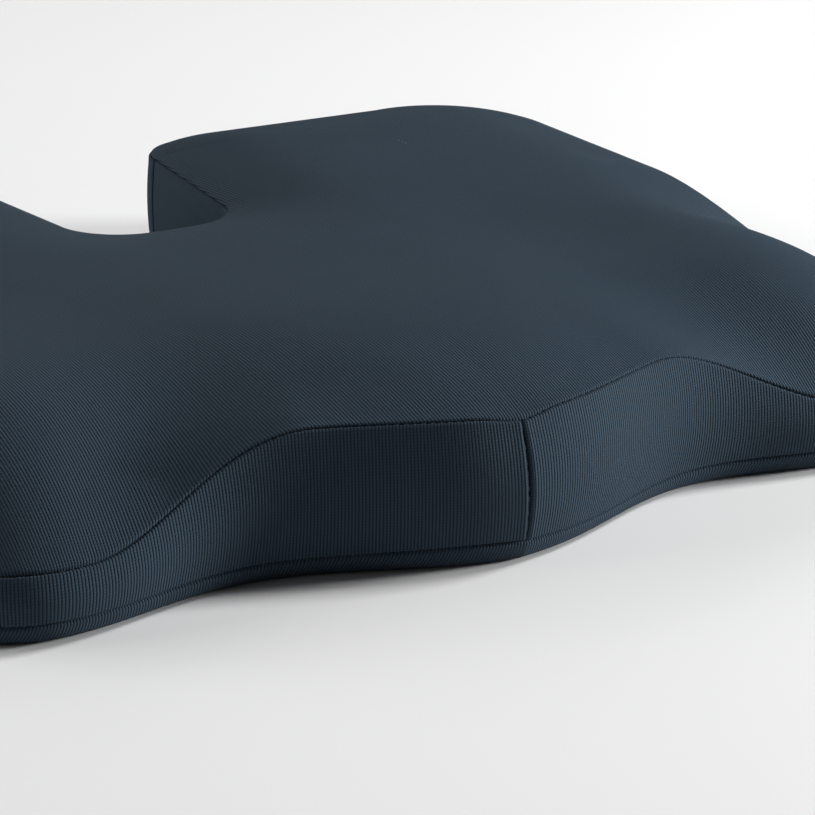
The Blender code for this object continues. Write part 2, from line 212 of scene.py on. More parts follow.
def graded(low, high, steps, near_low, near_high):
    """Even values from low to high, and closer ones by each end."""
    even = np.linspace(low, high, steps + 1)
    clear_low, clear_high = low + near_low.max() * 1.15, high - near_high.max() * 1.15
    kept = even[(even > clear_low) & (even < clear_high)]
    return np.unique(np.concatenate([low + near_low, kept, high - near_high]))


class Plan:
    """The closed outline, anticlockwise from above, from the front middle. The columns of every grid."""

    def __init__(self, steps, near):
        front, corner, side, fan = steps
        # Metres of outline for one unit of station, by each upright seam
        at_front, at_corner, at_side = LOBE_X / FRONT_ENDS, 0.698, 0.748
        none = 0.0 * near
        stations = np.unique(
            np.concatenate(
                [
                    graded(0.0, FRONT_ENDS, front, near / at_front, none),
                    graded(FRONT_ENDS, CORNER_ENDS, corner, none, near / at_corner),
                    graded(CORNER_ENDS, 1.0, side, near / at_side, near / at_side),
                ]
            ).round(7)
        )
        rear = rear_points(fan, near)
        back = stations[::-1]
        half = np.concatenate([outer_points(stations), rear, inner_points(back)])
        tip = np.repeat(skeleton_points(np.array([1.0])), len(rear), 0)
        middle = np.concatenate([skeleton_points(stations), tip, skeleton_points(back)])
        mirror = np.array([-1.0, 1.0])
        self.edge = np.concatenate([half, half[-2:0:-1] * mirror])
        self.middle = np.concatenate([middle, middle[-2:0:-1] * mirror])
        self.count = count = len(self.edge)
        along = np.roll(self.edge, -1, 0) - np.roll(self.edge, 1, 0)
        along /= np.linalg.norm(along, axis=1)[:, None]
        self.inward = np.stack([-along[:, 1], along[:, 0]], 1)
        self.level_inward = np.concatenate([self.inward, np.zeros((count, 1))], 1)
        lengths = np.linalg.norm(np.roll(self.edge, -1, 0) - self.edge, axis=1)
        self.perimeter = lengths.sum()
        self.run = np.concatenate([[0.0], np.cumsum(lengths)[:-1]])
        side_start = int(np.abs(stations - CORNER_ENDS).argmin())
        side_end = len(stations) - 1
        mouth = side_end + len(rear) + 1
        self.seams = [0, side_start, side_end, mouth, count - mouth, count - side_end]
        self.reach = np.linalg.norm(self.middle - self.edge, axis=1)
        from_front = np.minimum(self.run, self.perimeter - self.run)
        lean = -SEAM_LEAN * np.exp(-((from_front / SEAM_LEAN_REACH) ** 2))
        self.lean = np.stack([lean, 0.0 * lean], 1)
        self.at_front = self.edge[:, 1] < -0.15

    def from_seam(self):
        """How far each column is from the nearest upright seam, along the outline."""
        gaps = [np.abs(self.run - self.run[index]) for index in self.seams]
        gaps = [np.minimum(gap, self.perimeter - gap) for gap in gaps]
        return np.min(gaps, 0)


# ---- surfaces


def seam_height(edge, dip=1.0):
    x, y = np.abs(edge[..., 0]), edge[..., 1]
    front = mix(BULGE_SEAM_Z, LOBE_SEAM_Z, smooth(x, *SLOPE_X))
    drawn = SEAM_DIP * np.exp(-((x / SEAM_DIP_REACH) ** 2)) * (1.0 - smooth(y, -0.16, -0.10))
    return mix(front, REAR_SEAM_Z, smooth(y, *SIDE_RISE_Y)) - drawn * dip


def foot_height(edge):
    """The bottom seam's height."""
    height = np.full(len(edge), BOTTOM_SEAM_Z)
    for x, reach, rise in WAVER:
        height += rise * np.exp(-(((edge[:, 0] - x) / reach) ** 2)) * (edge[:, 1] < -0.15)
    return height


def by_region(edge, bulge, lobe, rear):
    """A value that changes from the bulge to the lobes, and from the front to the rear."""
    front = mix(bulge, lobe, smooth(np.abs(edge[:, 0]), *SLOPE_X))
    return mix(front, rear, smooth(edge[:, 1], *SIDE_RISE_Y))


def crest_height(spot):
    x, y = np.abs(spot[..., 0]), spot[..., 1]
    seat = mix(CREST_Z, SEAT_Z, smooth(y, -0.130, 0.030))
    groove = np.exp(-(((x - 0.110) / 0.050) ** 2)) * (1.0 - smooth(y, -0.120, 0.080))
    return seat - THIGH_GROOVE * groove


def shoulder_rise(risen, power):
    """From 0 at the seam to 1 on the crest. The end is eased, so that no line shows where it stops."""
    total = np.zeros_like(risen)
    spread = 0.22 * smooth(risen, 0.15, 0.60)
    offsets = np.linspace(-1.0, 1.0, 9)
    for offset in offsets:
        at = np.clip(risen + offset * spread, 0.0, 1.0)
        total += 1.0 - (1.0 - at) ** power
    return total / len(offsets)


def top_surface(plan, shares):
    """Points (rows, columns, 3) on the top, for shares (rows, columns) of the way to the middle."""
    ease = np.exp(-shares * plan.reach / PANEL_EASE)
    spot = plan.edge + (plan.middle - plan.edge) * shares[..., None]
    spot = spot + plan.lean * ((1.0 - shares) ** 2)[..., None]
    back = np.where(plan.at_front, ridge(plan.edge[:, 0]), 0.0) * (1.0 - shares) * (1.0 - ease)
    spot[..., 1] += back
    width = by_region(plan.edge, BULGE_SHOULDER[0], LOBE_SHOULDER[0], REAR_SHOULDER[0])
    power = by_region(plan.edge, BULGE_SHOULDER[1], LOBE_SHOULDER[1], REAR_SHOULDER[1])
    risen = np.minimum(1.35, (shares * plan.reach - back) / width)
    height = mix(seam_height(plan.edge, ease), crest_height(spot), shoulder_rise(risen, power))
    return np.concatenate([spot, height[..., None]], 2)


def swell(edge):
    front = mix(BULGE_SWELL, LOBE_SWELL, smooth(np.abs(edge[:, 0]), *SLOPE_X))
    return mix(front, BAND_SWELL, smooth(edge[:, 1], *SWELL_FADE_Y))


def band_surface(plan, shares):
    """Points on the boxing, for shares (rows, columns) of the way from the bottom seam to the top seam."""
    height = mix(foot_height(plan.edge), seam_height(plan.edge), shares)
    out = swell(plan.edge) * 4.0 * shares * (1.0 - shares)
    spot = plan.edge - plan.inward * out[..., None] + plan.lean * shares[..., None]
    return np.concatenate([spot, height[..., None]], 2)


def bottom_surface(plan, leans, shares):
    """The flat underside, for shares from 1 in the middle to 0, then the rounded edge (leans, degrees)."""
    rise = foot_height(plan.edge)
    lean = BOTTOM_EDGE_LEAN * 4.0 * swell(plan.edge) / (seam_height(plan.edge) - rise)
    foot = plan.edge + plan.inward * (BOTTOM_EDGE_INSET + lean * rise)[:, None]
    flat = foot + (plan.middle - foot) * shares[:, None, None]
    flat = np.concatenate([flat, np.zeros((*flat.shape[:2], 1))], 2)
    angle = np.radians(leans)[:, None]
    height = rise * (1.0 - np.cos(angle))
    inset = BOTTOM_EDGE_INSET * (1.0 - np.sin(angle)) + lean * (rise - height)
    spot = plan.edge + plan.inward * inset[..., None]
    return np.concatenate([flat, np.concatenate([spot, height[..., None]], 2)])


def near_and_far(length, rows, both_ends):
    """Shares (rows, columns) along a line of each column's length, close together by its seam ends."""
    near = NEAR_SEAM[:, None] / np.maximum(length, NEAR_SEAM[-1] / 0.4)
    if not both_ends:
        far = mix(near[-1], 1.0, np.linspace(0.0, 1.0, rows + 1)[1:, None])
        return np.concatenate([near, far])
    far = mix(near[-1], 1.0 - near[-1], np.linspace(0.0, 1.0, rows + 1)[1:-1, None])
    return np.concatenate([near, far, 1.0 - near[::-1]])


# ---- cloth simulation


def weld(mesh, distance=0.00002):
    bm = bmesh.new()
    bm.from_mesh(mesh)
    bmesh.ops.remove_doubles(bm, verts=bm.verts, dist=distance)
    bm.to_mesh(mesh)
    bm.free()


def grid_faces(rows, columns, closed):
    """Corner numbers of each quad, for a grid whose last column may join the first."""
    across = np.arange(columns if closed else columns - 1)
    after = (across + 1) % columns
    below = np.arange(rows - 1)[:, None] * columns
    corners = [below + across, below + after, below + columns + after, below + columns + across]
    return np.stack(corners, 2).reshape(-1, 4)


def make_mesh(name, points, faces):
    mesh = bpy.data.meshes.new(name)
    mesh.from_pydata(points.reshape(-1, 3).tolist(), [], faces.tolist())
    mesh.polygons.foreach_set("use_smooth", np.ones(len(faces), bool))
    return mesh


def cloth_displacement(plan):
    """How far an inflated cover moves from its start, as (band rows, top rows), each (rows, columns, 3)."""
    shares = np.linspace(0.0, 1.0, SIM_BAND_ROWS + 1)[:, None] * np.ones(plan.count)
    band = band_surface(plan, shares)
    shares = np.linspace(0.0, 1.0, SIM_TOP_ROWS + 1)[:, None] ** 1.3 * np.ones(plan.count)
    top = top_surface(plan, shares)
    bottom = bottom_surface(plan, np.array([45.0]), np.array([1.0, 0.4, 0.0]))
    rows = np.concatenate([bottom, band, top[1:]])
    mesh = make_mesh("sim", rows, grid_faces(len(rows), plan.count, True))
    weld(mesh)
    start = mesh_points(mesh)
    tree = KDTree(len(start))
    for index, point in enumerate(start):
        tree.insert(point, index)
    tree.balance()
    welded = np.array([tree.find(point)[1] for point in rows.reshape(-1, 3)]).reshape(rows.shape[:2])
    first_band = len(bottom)
    seam = first_band + SIM_BAND_ROWS
    held = np.unique(np.concatenate([welded[: first_band + 1].ravel(), welded[seam]]))
    moved = inflate(mesh, held.tolist()) - start
    size = np.linalg.norm(moved, axis=1, keepdims=True) + 1e-9
    moved *= SIM_CAP * np.tanh(size / SIM_CAP) / size
    moved = moved[welded]
    return moved[first_band : seam + 1], moved[seam:]


def mesh_points(mesh):
    points = np.zeros(len(mesh.vertices) * 3, np.float32)
    mesh.vertices.foreach_get("co", points)
    return points.reshape(-1, 3).astype(float)


def inflate(mesh, held):
    """Runs a cloth simulation with air pressure inside, its seams held in place, and returns the points."""
    sim = bpy.data.objects.new("sim", mesh)
    bpy.context.scene.collection.objects.link(sim)
    sim.vertex_groups.new(name="pins").add(held, 1.0, "REPLACE")
    cloth = sim.modifiers.new("cloth", "CLOTH")
    cloth.collision_settings.use_collision = False
    cloth.collision_settings.use_self_collision = False
    cloth.point_cache.frame_end = SIM_FRAMES
    settings = cloth.settings
    settings.vertex_group_mass = "pins"
    settings.use_pressure = True
    settings.uniform_pressure_force = PRESSURE
    settings.tension_stiffness = settings.compression_stiffness = SIM_STIFFNESS
    settings.effector_weights.gravity = 0.0
    for step in range(1, SIM_FRAMES + 1):
        bpy.context.scene.frame_set(step)
    shaped = mesh_points(sim.evaluated_get(bpy.context.evaluated_depsgraph_get()).to_mesh())
    bpy.data.objects.remove(sim)
    bpy.context.scene.frame_set(1)
    return shaped


def relax(field, rounds, rows_too=False):
    """Evens out a field (rows, columns, 3), keeping its first and last rows."""
    for _ in range(rounds):
        field = 0.5 * field + 0.25 * (np.roll(field, 1, 1) + np.roll(field, -1, 1))
        if rows_too:
            field[1:-1] = 0.5 * field[1:-1] + 0.25 * (field[:-2] + field[2:])
    return field


def spread_columns(field, at, run, perimeter):
    """A field (rows, columns, 3) known at some places round the outline, found for others."""
    at = np.concatenate([at, [perimeter]])
    wrapped = np.concatenate([field, field[:, :1]], 1)
    rows = [np.stack([np.interp(run, at, row[:, axis]) for axis in range(3)], 1) for row in wrapped]
    return np.stack(rows)


def spread_rows(field, coarse, plan, shares, power):
    """The simulated field on a finer grid, for shares (rows, columns)."""
    scale = plan.perimeter / coarse.perimeter
    even = np.linspace(0.0, plan.perimeter, EVEN_COLUMNS, endpoint=False)
    wide = relax(spread_columns(field, coarse.run * scale, even, plan.perimeter), EVEN_ROUNDS)
    wide = spread_columns(wide, even, plan.run, plan.perimeter)
    place = shares ** (1.0 / power) * (len(field) - 1)
    low = np.clip(place.astype(int), 0, len(field) - 2)
    share = (place - low)[..., None]
    columns = np.arange(plan.count)
    return mix(wide[low, columns], wide[low + 1, columns], share)


# ---- seams


def pucker(run, seed):
    """How the fold's depth changes along a seam, from the stitches and the hand that sewed it."""
    slow = np.sin(run * 61.0 + seed) + 0.6 * np.sin(run * 157.0 + 2.3 * seed)
    return 1.0 + 0.10 * slow + 0.22 * np.cos(2.0 * np.pi * run / STITCH)


def fold(distance):
    return np.exp(-((np.abs(distance) / FOLD_WIDTH) ** 1.5))


def roll(distance):
    """The soft roll of fabric beside a seam: 0 at the seam, 1 at its top, and 0 again further off."""
    share = np.abs(distance) / ROLL_AT
    return share**2 * np.exp(2.0 * (1.0 - share))


def row_normals(points):
    """Unit normals (rows, columns, 3) of a grid."""
    across = np.roll(points, -1, 1) - np.roll(points, 1, 1)
    up = np.gradient(points, axis=0)
    normal = np.cross(across, up)
    return normal / (np.linalg.norm(normal, axis=2, keepdims=True) + 1e-12)


def seam_pull(plan, rise):
    """The direction in which a seam's fold goes, into the cushion: inward, and down or up by rise."""
    inward = np.concatenate([plan.inward, np.full((plan.count, 1), rise)], 1)
    return inward / np.linalg.norm(inward, axis=1)[:, None]


def sew(points, distance, pull, depth, lip_row):
    """Folds a grid in towards a seam. Distances are (rows, columns), and lip_row is the row on the seam."""
    points = points + row_normals(points) * (ROLL * roll(distance))[..., None]
    points = points + pull * (FOLD_DEPTH * depth * fold(distance))[..., None]
    lip = points[lip_row] + pull * LIP
    stack = [lip[None], points] if lip_row == 0 else [points, lip[None]]
    return np.concatenate(stack)


# ---- pieces


def add_uv(mesh, uv, faces):
    """uv is (points, 2) in metres, or (points, 2) for each corner of faces."""
    layer = mesh.uv_layers.new(name="weave")
    corners = uv[faces.reshape(-1)] if uv.ndim == 2 else uv.reshape(-1, 2)
    layer.data.foreach_set("uv", corners.astype(np.float32).reshape(-1))


def show(obj, body="cushion"):
    bpy.context.scene.collection.objects.link(obj)
    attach(obj, body)
    return obj


def panel(name, points, uv, material, node, closed, welded=False):
    """One piece of the cover, from a grid of points, standing for a CAD node."""
    rows, columns = points.shape[:2]
    faces = grid_faces(rows, columns, closed)
    mesh = make_mesh(name, points, faces)
    add_uv(mesh, uv.reshape(-1, 2), faces)
    mesh.materials.append(material)
    if welded:
        weld(mesh)
    obj = show(bpy.data.objects.new(name, mesh))
    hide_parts(node)
    return obj


def unfolded(points, plan):
    """Where each point lies on the flat fabric: its plan, pushed out by the surface's extra length."""
    steps = np.diff(points, axis=0)
    extra = np.linalg.norm(steps, axis=2) - np.linalg.norm(steps[..., :2], axis=2)
    total = np.concatenate([np.zeros((1, points.shape[1])), np.cumsum(extra, 0)])
    # The way out is evened along the edge, so that the ribs don't crowd at its corners
    even = np.linspace(0.0, plan.perimeter, EVEN_COLUMNS, endpoint=False)
    inward = spread_columns(plan.level_inward[None], plan.run, even, plan.perimeter)
    inward = relax(inward, 2 * EVEN_ROUNDS)
    inward = spread_columns(inward, even, plan.run, plan.perimeter)[0, :, :2]
    return points[..., :2] - inward * total[..., None]


def make_top(plan, field, coarse, material):
    shares = near_and_far(plan.reach, TOP_ROWS, both_ends=False)
    points = top_surface(plan, shares)
    if field is not None:
        moved = spread_rows(field, coarse, plan, shares, 1.3)
        sunk = smooth(shares, 0.0, 0.25)[..., None] * (0.0, 0.0, SINK)
        points = points + relax(moved, 12, rows_too=True) - sunk
    distance = shares * plan.reach
    depth = pucker(plan.run, 0.7)
    points = sew(points, distance, seam_pull(plan, -0.9), depth, 0)
    uv = unfolded(points[::-1], plan)[::-1]
    return panel("cover_top", points, uv, material, "top_panel", True, welded=True)


def make_bottom(plan, material):
    shares = np.linspace(1.0, 0.0, 24)
    leans = np.concatenate([np.linspace(8.0, 72.0, 9), [77.0, 81.0, 84.0, 86.5, 88.5, 90.0]])
    points = bottom_surface(plan, leans, shares)
    distance = np.full(points.shape[:2], 1.0)
    turned = np.radians(90.0 - leans) * 0.5 * (BOTTOM_SEAM_Z + BOTTOM_EDGE_INSET)
    distance[len(shares) :] = turned[:, None]
    depth = pucker(plan.run, 2.9)
    uv = unfolded(points, plan)
    points = sew(points, distance, seam_pull(plan, 0.25), depth, len(points) - 1)
    uv = np.concatenate([uv, uv[-1:] + plan.inward * LIP])
    points[:-1, :, 2] = np.maximum(points[:-1, :, 2], 0.0)
    return panel("cover_bottom", points, uv, material, "bottom_panel", True, welded=True)


STRIPS = (
    ("front_right", 0, 1, "front_band_right", "knit_front_right"),
    ("zip_facing", 1, 2, "zip_facing", "knit_zip_facing"),
    ("rear_right", 2, 3, "rear_band_right", "knit_rear_right"),
    ("notch", 3, 4, "notch_band", "knit_notch"),
    ("rear_left", 4, 5, "rear_band_left", "knit_rear_left"),
    ("front_left", 5, 6, "front_band_left", "knit_front_left"),
)


def band_grid(plan, field, coarse, low):
    """The whole boxing as one grid, with its folds, from a height above the bottom seam."""
    height = seam_height(plan.edge)
    full = height - foot_height(plan.edge)
    start = np.maximum(low - foot_height(plan.edge), 0.0) / full
    shares = mix(start, 1.0, near_and_far((1.0 - start) * full, BAND_ROWS, both_ends=True))
    points = band_surface(plan, shares)
    if field is not None:
        moved = spread_rows(field, coarse, plan, shares, 1.0)
        points = points + relax(moved, 8, rows_too=True)
    beside = plan.from_seam()
    inward = plan.level_inward
    along_seam = np.ones((len(shares), 1)) * beside
    upright = pucker(shares * full, 4.1) * fold(along_seam)
    points = points + row_normals(points) * (ROLL * roll(along_seam))[..., None]
    points = points + inward * (FOLD_DEPTH * 1.25 * upright)[..., None]
    above = (shares - start) * full
    below = (1.0 - shares) * full
    points = sew(points, below, seam_pull(plan, -0.9), pucker(plan.run, 0.7), len(points) - 1)
    above = np.concatenate([above, above[-1:]])
    points = sew(points, above, seam_pull(plan, 0.25), pucker(plan.run, 2.9), 0)
    return points


def make_bands(plan, field, coarse, material):
    from_bottom = band_grid(plan, field, coarse, 0.0)
    from_zip = band_grid(plan, field, coarse, FACING_Z)
    ends = plan.seams + [plan.count]
    inward = plan.level_inward
    for name, first, last, node, slot in STRIPS:
        span = np.arange(ends[first], ends[last] + 1) % plan.count
        grid = (from_zip if name == "zip_facing" else from_bottom)[:, span]
        lip = inward[span] * LIP
        grid = np.concatenate([grid[:, :1] + lip[0], grid, grid[:, -1:] + lip[-1]], 1)
        run = plan.run[span]
        run = np.where(run < run[0], run + plan.perimeter, run) - run[0]
        run = np.concatenate([[run[0] - LIP], run, [run[-1] + LIP]])
        uv = np.stack([run + 0.0 * grid[..., 2], grid[..., 2]], 2)
        panel(f"cover_{name}", grid, uv, material, node, False)


# ---- materials


class Nodes:
    """Short calls for a material's nodes."""

    def __init__(self, name):
        self.material = bpy.data.materials.new(name)
        self.material.use_nodes = True
        self.tree = self.material.node_tree
        self.shader = self.tree.nodes["Principled BSDF"]

    def link(self, source, target):
        if isinstance(source, (int, float)):
            target.default_value = source
        else:
            self.tree.links.new(source, target)

    def math(self, operation, *values):
        node = self.tree.nodes.new("ShaderNodeMath")
        node.operation = operation
        for value, socket in zip(values, node.inputs):
            self.link(value, socket)
        return node.outputs[0]

    def uv(self):
        node = self.tree.nodes.new("ShaderNodeUVMap")
        node.uv_map = "weave"
        split = self.tree.nodes.new("ShaderNodeSeparateXYZ")
        self.link(node.outputs[0], split.inputs[0])
        return split.outputs[0], split.outputs[1]

    def place(self):
        return self.tree.nodes.new("ShaderNodeTexCoord").outputs["Object"]

    def noise(self, scale, detail=2.0, vector=None):
        node = self.tree.nodes.new("ShaderNodeTexNoise")
        node.inputs["Scale"].default_value = scale
        node.inputs["Detail"].default_value = detail
        self.link(vector or self.place(), node.inputs["Vector"])
        return node.outputs[0]

    def ramp(self, factor, stops):
        node = self.tree.nodes.new("ShaderNodeValToRGB")
        elements = node.color_ramp.elements
        while len(elements) < len(stops):
            elements.new(0.5)
        for element, (position, color) in zip(elements, stops):
            element.position = position
            element.color = (*color, 1.0)
        self.link(factor, node.inputs[0])
        return node.outputs[0]

    def mix_color(self, factor, a, b, blend="MIX"):
        node = self.tree.nodes.new("ShaderNodeMix")
        node.data_type = "RGBA"
        node.blend_type = blend
        self.link(factor, node.inputs[0])
        for value, socket in ((a, node.inputs[6]), (b, node.inputs[7])):
            if isinstance(value, tuple):
                socket.default_value = (*value, 1.0)
            else:
                self.tree.links.new(value, socket)
        return node.outputs[2]

    def bump(self, height, distance, strength=1.0):
        node = self.tree.nodes.new("ShaderNodeBump")
        node.inputs["Strength"].default_value = strength
        node.inputs["Distance"].default_value = distance
        self.link(height, node.inputs["Height"])
        self.link(node.outputs[0], self.shader.inputs["Normal"])

    def set(self, **values):
        for name, value in values.items():
            socket = self.shader.inputs[name.replace("_", " ").title()]
            if isinstance(value, tuple):
                socket.default_value = (*value, 1.0)
            else:
                self.link(value, socket)
        return self.material


RIB_PITCH = 0.0012
COURSE_PITCH = 0.00105
# The knit's own colour on the ribs, and the painted shade put in the furrows between ribs and between loops
KNIT_LIGHT = (0.039, 0.061, 0.085)
KNIT_FURROW_SHADE = (0.0065, 0.0112, 0.0165)


def knit_material(name, depth=0.00032, light=KNIT_LIGHT, dark=KNIT_FURROW_SHADE):
    """Ribbed knit: a column of V-shaped loops on each rib, and a dark furrow between ribs, whose darkness is
    painted shade.
    """
    n = Nodes(name)
    across, along = n.uv()
    place = n.math("FRACT", n.math("MULTIPLY", across, 1.0 / RIB_PITCH))
    off_centre = n.math("MULTIPLY", n.math("ABSOLUTE", n.math("SUBTRACT", place, 0.5)), 2.0)
    rib = n.math("SUBTRACT", 1.0, n.math("POWER", off_centre, 2.4))
    course = n.math("MULTIPLY_ADD", off_centre, 0.45, n.math("MULTIPLY", along, 1.0 / COURSE_PITCH))
    loop = n.math("SINE", n.math("MULTIPLY", course, 2.0 * math.pi))
    loop = n.math("MULTIPLY_ADD", loop, 0.14, 0.86)
    height = n.math("MULTIPLY", rib, loop)
    fuzz = n.noise(1900.0, 1.0)
    height = n.math("MULTIPLY_ADD", fuzz, 0.10, height)
    # The colour follows the rib's height, so the furrows and the gaps between loops carry painted shade
    color = n.mix_color(n.math("MULTIPLY", height, 0.9), dark, light)
    cloud = n.math("MULTIPLY_ADD", n.noise(22.0, 3.0), 0.24, 0.88)
    shade = n.ramp(cloud, [(0.0, (0.0, 0.0, 0.0)), (1.0, (1.0, 1.0, 1.0))])
    color = n.mix_color(1.0, color, shade, "MULTIPLY")
    n.bump(height, depth)
    n.link(color, n.shader.inputs["Base Color"])
    roughness = n.math("MULTIPLY_ADD", rib, -0.12, 0.92)
    n.shader.inputs["Sheen Weight"].default_value = 0.012
    n.shader.inputs["Sheen Roughness"].default_value = 0.45
    n.shader.inputs["Specular IOR Level"].default_value = 0.05
    return n.set(roughness=roughness)


def foam_material():
    """Moulded foam: a fine open-cell skin with a few larger pits."""
    n = Nodes("moulded_foam")
    cells = n.noise(1400.0, 2.0)
    pits = n.noise(260.0, 3.0)
    height = n.math("ADD", n.math("MULTIPLY", cells, 0.5), pits)
    # The colour follows the pits' depth and is darker in them: painted shade in the pits
    color = n.ramp(pits, [(0.30, (0.66, 0.63, 0.54)), (0.55, (0.82, 0.80, 0.72))])
    n.bump(height, 0.0006)
    n.link(color, n.shader.inputs["Base Color"])
    return n.set(roughness=0.95)


def liner_material():
    """Thin grey stockinette: fine loops close together."""
    n = Nodes("liner_stockinette")
    across, along = n.uv()
    wale = n.math("SINE", n.math("MULTIPLY", across, 2.0 * math.pi / 0.0009))
    loop = n.math("SINE", n.math("MULTIPLY", along, 2.0 * math.pi / 0.0007))
    height = n.math("ADD", wale, n.math("MULTIPLY", loop, 0.4))
    # The colour follows the loops' height and is darker between them: painted shade
    shade = n.math("MULTIPLY_ADD", height, 0.35, 0.5)
    color = n.ramp(shade, [(0.1, (0.50, 0.51, 0.52)), (0.9, (0.74, 0.75, 0.76))])
    n.bump(height, 0.00012)
    n.link(color, n.shader.inputs["Base Color"])
    return n.set(roughness=0.9)


def tape_material():
    """Woven polyester tape: a herringbone of fine diagonal lines."""
    n = Nodes("zip_tape")
    along, up = n.uv()
    bands = n.math("PINGPONG", n.math("MULTIPLY", up, 1.0 / 0.0012), 1.0)
    lines = n.math("ADD", n.math("MULTIPLY", along, 1.0 / 0.0007), bands)
    weave = n.math("SINE", n.math("MULTIPLY", lines, 2.0 * math.pi))
    # The colour follows the weave's height and is darker in its grooves: painted shade
    color = n.mix_color(n.math("MULTIPLY_ADD", weave, 0.5, 0.5), (0.010, 0.016, 0.023), (0.034, 0.050, 0.069))
    n.bump(weave, 0.00008)
    n.link(color, n.shader.inputs["Base Color"])
    return n.set(roughness=0.8)


def nylon_material():
    """Dyed nylon monofilament with a soft shine and slight mottle."""
    n = Nodes("zip_nylon")
    mottle = n.noise(900.0, 2.0)
    color = n.ramp(mottle, [(0.3, (0.016, 0.024, 0.034)), (0.7, (0.030, 0.043, 0.060))])
    n.bump(mottle, 0.00003)
    n.link(color, n.shader.inputs["Base Color"])
    return n.set(roughness=n.math("MULTIPLY_ADD", mottle, 0.2, 0.30))


def metal_material():
    """Die-cast zinc under thin dark paint, worn a little smoother in places."""
    n = Nodes("painted_zinc")
    patches = n.noise(420.0, 3.0)
    grain = n.noise(3200.0, 1.0)
    color = n.ramp(patches, [(0.35, (0.040, 0.048, 0.056)), (0.75, (0.075, 0.085, 0.095))])
    n.bump(grain, 0.00002)
    n.link(color, n.shader.inputs["Base Color"])
    n.shader.inputs["Metallic"].default_value = 0.55
    return n.set(roughness=n.math("MULTIPLY_ADD", patches, 0.25, 0.24))


def thread_material():
    """Polyester sewing thread: two plies twisted together."""
    n = Nodes("sewing_thread")
    twist = n.noise(5200.0, 1.0)
    color = n.ramp(twist, [(0.35, (0.003, 0.005, 0.007)), (0.65, (0.009, 0.013, 0.018))])
    n.bump(twist, 0.00004)
    n.link(color, n.shader.inputs["Base Color"])
    n.shader.inputs["Specular IOR Level"].default_value = 0.1
    return n.set(roughness=0.9)


def floor_material():
    n = Nodes("studio_floor")
    tone = n.noise(2.0, 2.0)
    color = n.ramp(tone, [(0.0, (0.82, 0.82, 0.82)), (1.0, (0.86, 0.86, 0.86))])
    n.link(color, n.shader.inputs["Base Color"])
    return n.set(roughness=0.9)


# ---- foam and liner

LINER_INSET, FOAM_INSET = 0.0060, 0.0074


def inner_body(plan, inset, bottom_shares):
    """A closed grid that lies inside the cover everywhere, inset from it."""
    across = plan.level_inward * inset
    up = np.array([0.0, 0.0, inset])
    ones = np.ones((1, plan.count))
    edge_rows = bottom_surface(plan, np.array([35.0, 65.0]), np.array(bottom_shares))
    fade = np.array([*((1.0 - np.array(bottom_shares)) ** 3), 1.0, 1.0])[:, None, None]
    lift = np.array([*np.ones(len(bottom_shares)), 0.8, 0.5])[:, None, None]
    bottom = edge_rows + across * fade + up * lift
    band = band_surface(plan, np.linspace(0.1, 0.9, 6)[:, None] * ones) + across
    shares = np.linspace(0.0, 1.0, SIM_TOP_ROWS + 1)[:, None] ** 1.3 * ones
    top = top_surface(plan, shares) + across * ((1.0 - shares) ** 3)[..., None] - up
    top[..., 2] -= smooth(shares, 0.0, 0.25) * SINK
    return np.concatenate([bottom, band, top])


def make_inner(plan):
    foam = inner_body(plan, FOAM_INSET, (1.0, 0.5, 0.0))
    uv = foam[..., :2]
    panel("foam_body", foam, uv, foam_material(), "foam_core", True, welded=True)
    liner = inner_body(plan, LINER_INSET, (0.45, 0.2, 0.0))
    uv = unfolded(liner, plan)
    panel("liner_body", liner, uv, liner_material(), "inner_liner", True, welded=True)


# ---- thread

THREAD_RADIUS = 0.00021
THREAD_PROFILE = ((-1.0, 0.15), (-0.82, 0.75), (-0.4, 1.0), (0.4, 1.0), (0.82, 0.75), (1.0, 0.15))


def resample(line, spacing):
    """Even points on a line, and its direction at each."""
    lengths = np.linalg.norm(np.diff(line, axis=0), axis=1)
    run = np.concatenate([[0.0], np.cumsum(lengths)])
    at = np.arange(0.5 * spacing, run[-1], spacing)
    points = np.stack([np.interp(at, run, line[:, axis]) for axis in range(3)], 1)
    ahead = np.stack([np.interp(at + 0.0004, run, line[:, axis]) for axis in range(3)], 1)
    direction = ahead - points
    return points, direction / (np.linalg.norm(direction, axis=1)[:, None] + 1e-12)


def cross_axes(direction):
    """Two unit directions across each given one."""
    helper = np.where(np.abs(direction[:, 2:]) < 0.8, (0.0, 0.0, 1.0), (1.0, 0.0, 0.0))
    first = np.cross(direction, helper)
    first /= np.linalg.norm(first, axis=1)[:, None]
    return first, np.cross(direction, first)


def stitch_points(line, length, spacing):
    """Rings (stitches, rings, sides, 3) of the small spindles that a run of thread shows as."""
    centre, direction = resample(line, spacing)
    first, second = cross_axes(direction)
    turn = np.linspace(0.0, 2.0 * np.pi, 6, endpoint=False)
    rings = []
    for place, width in THREAD_PROFILE:
        middle = centre + direction * 0.5 * length * place
        circle = np.cos(turn)[:, None, None] * first + np.sin(turn)[:, None, None] * second
        rings.append(middle[:, None] + circle.transpose(1, 0, 2) * THREAD_RADIUS * width)
    return np.stack(rings, 1)


def make_thread(name, lines, material, length=0.0019, spacing=STITCH, body="cushion"):
    """All the stitches of a set of lines, as one piece."""
    points = np.concatenate([stitch_points(line, length, spacing) for line in lines])
    count, rings, sides = points.shape[:3]
    one = grid_faces(rings, sides, True)
    faces = (one[None] + np.arange(count)[:, None, None] * rings * sides).reshape(-1, 4)
    mesh = make_mesh(name, points, faces)
    mesh.materials.append(material)
    return show(bpy.data.objects.new(name, mesh), body)


def seam_line(plan, rise, pull, depth):
    points = np.concatenate([plan.edge + plan.lean * rise[1], rise[0][:, None]], 1)
    points = points + pull * depth
    return np.concatenate([points, points[:1]])


